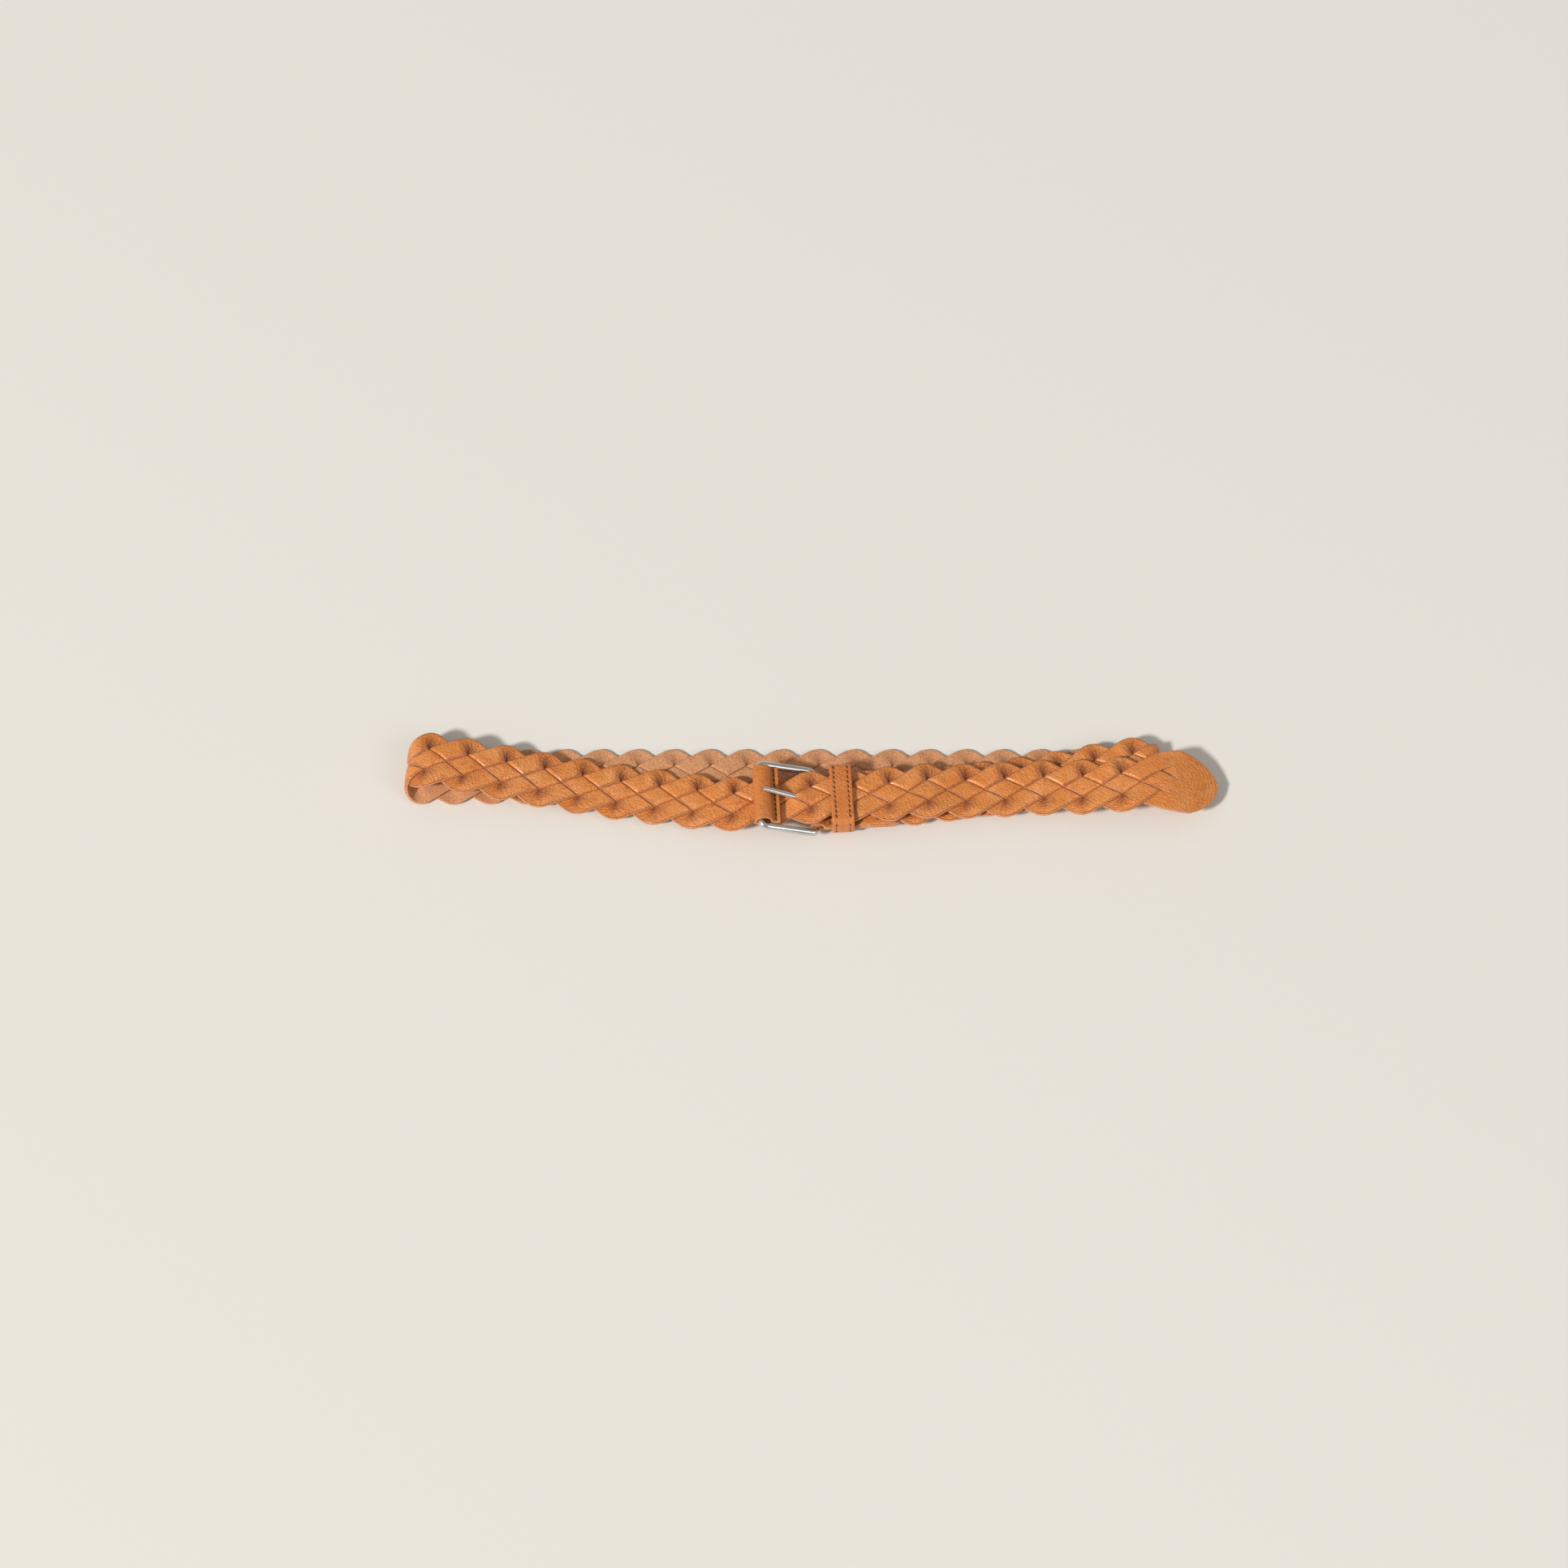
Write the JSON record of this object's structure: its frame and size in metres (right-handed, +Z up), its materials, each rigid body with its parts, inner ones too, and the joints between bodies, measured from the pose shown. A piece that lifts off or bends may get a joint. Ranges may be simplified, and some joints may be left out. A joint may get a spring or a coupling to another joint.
{
  "type": "leather belt",
  "caption": "Braided tan leather belt with a prong buckle, fastened into a loop and laid flat, with a sleeved front bar and a leather keeper.",
  "frame": {"origin": "on the table under the middle of the belt's bounding box", "axes": "+X along the strap towards the tongue's tip, +Y across the strap to the far side, +Z up from the table"},
  "size_m": [0.4386, 0.061, 0.0262],
  "materials": {
    "strap_leather": "semi-gloss pebbled vegetable-tanned hide, pale flesh side",
    "tab_leather": "semi-gloss smooth hide",
    "keeper_leather": "semi-gloss smooth hide",
    "thread": "waxed thread, matt",
    "buckle_steel": "polished steel wire"
  },
  "bodies": {
    "strap": {"strand_1": "strap_leather", "strand_2": "strap_leather", "strand_3": "strap_leather", "strand_4": "strap_leather", "strap_tip": "strap_leather", "buckle_tab": "tab_leather", "tab_stitches_front": "thread", "tab_stitches_rear": "thread"},
    "frame": {"buckle_frame": "buckle_steel"},
    "prong": {"buckle_prong": "buckle_steel"},
    "sleeve": {"bar_sleeve": "tab_leather", "sleeve_stitches": "thread"},
    "keeper": {"keeper_outer": "keeper_leather", "keeper_lining": "keeper_leather", "keeper_stitches": "thread"}
  },
  "joints": [
    {"name": "buckle_swivel", "type": "hinge", "parent": "strap", "child": "frame", "pos_m": [0.0007, -0.00815, 0.0078], "axis": [-0.0523, 0.9986, 0], "range_deg": [0, 12]},
    {"name": "prong_pivot", "type": "hinge", "parent": "frame", "child": "prong", "pos_m": [0.0007, -0.00815, 0.0078], "axis": [-0.0523, 0.9986, 0], "range_deg": [0, 8]},
    {"name": "sleeve_roll", "type": "hinge", "parent": "frame", "child": "sleeve", "pos_m": [-0.02837, -0.00967, 0.01904], "axis": [0.0523, -0.9986, 0], "range_deg": [0, 5]},
    {"name": "keeper_slide", "type": "slide", "parent": "strap", "child": "keeper", "axis": [0.9986, 0.0523, 0], "range_m": [-0.0025, 0.022]}
  ]
}
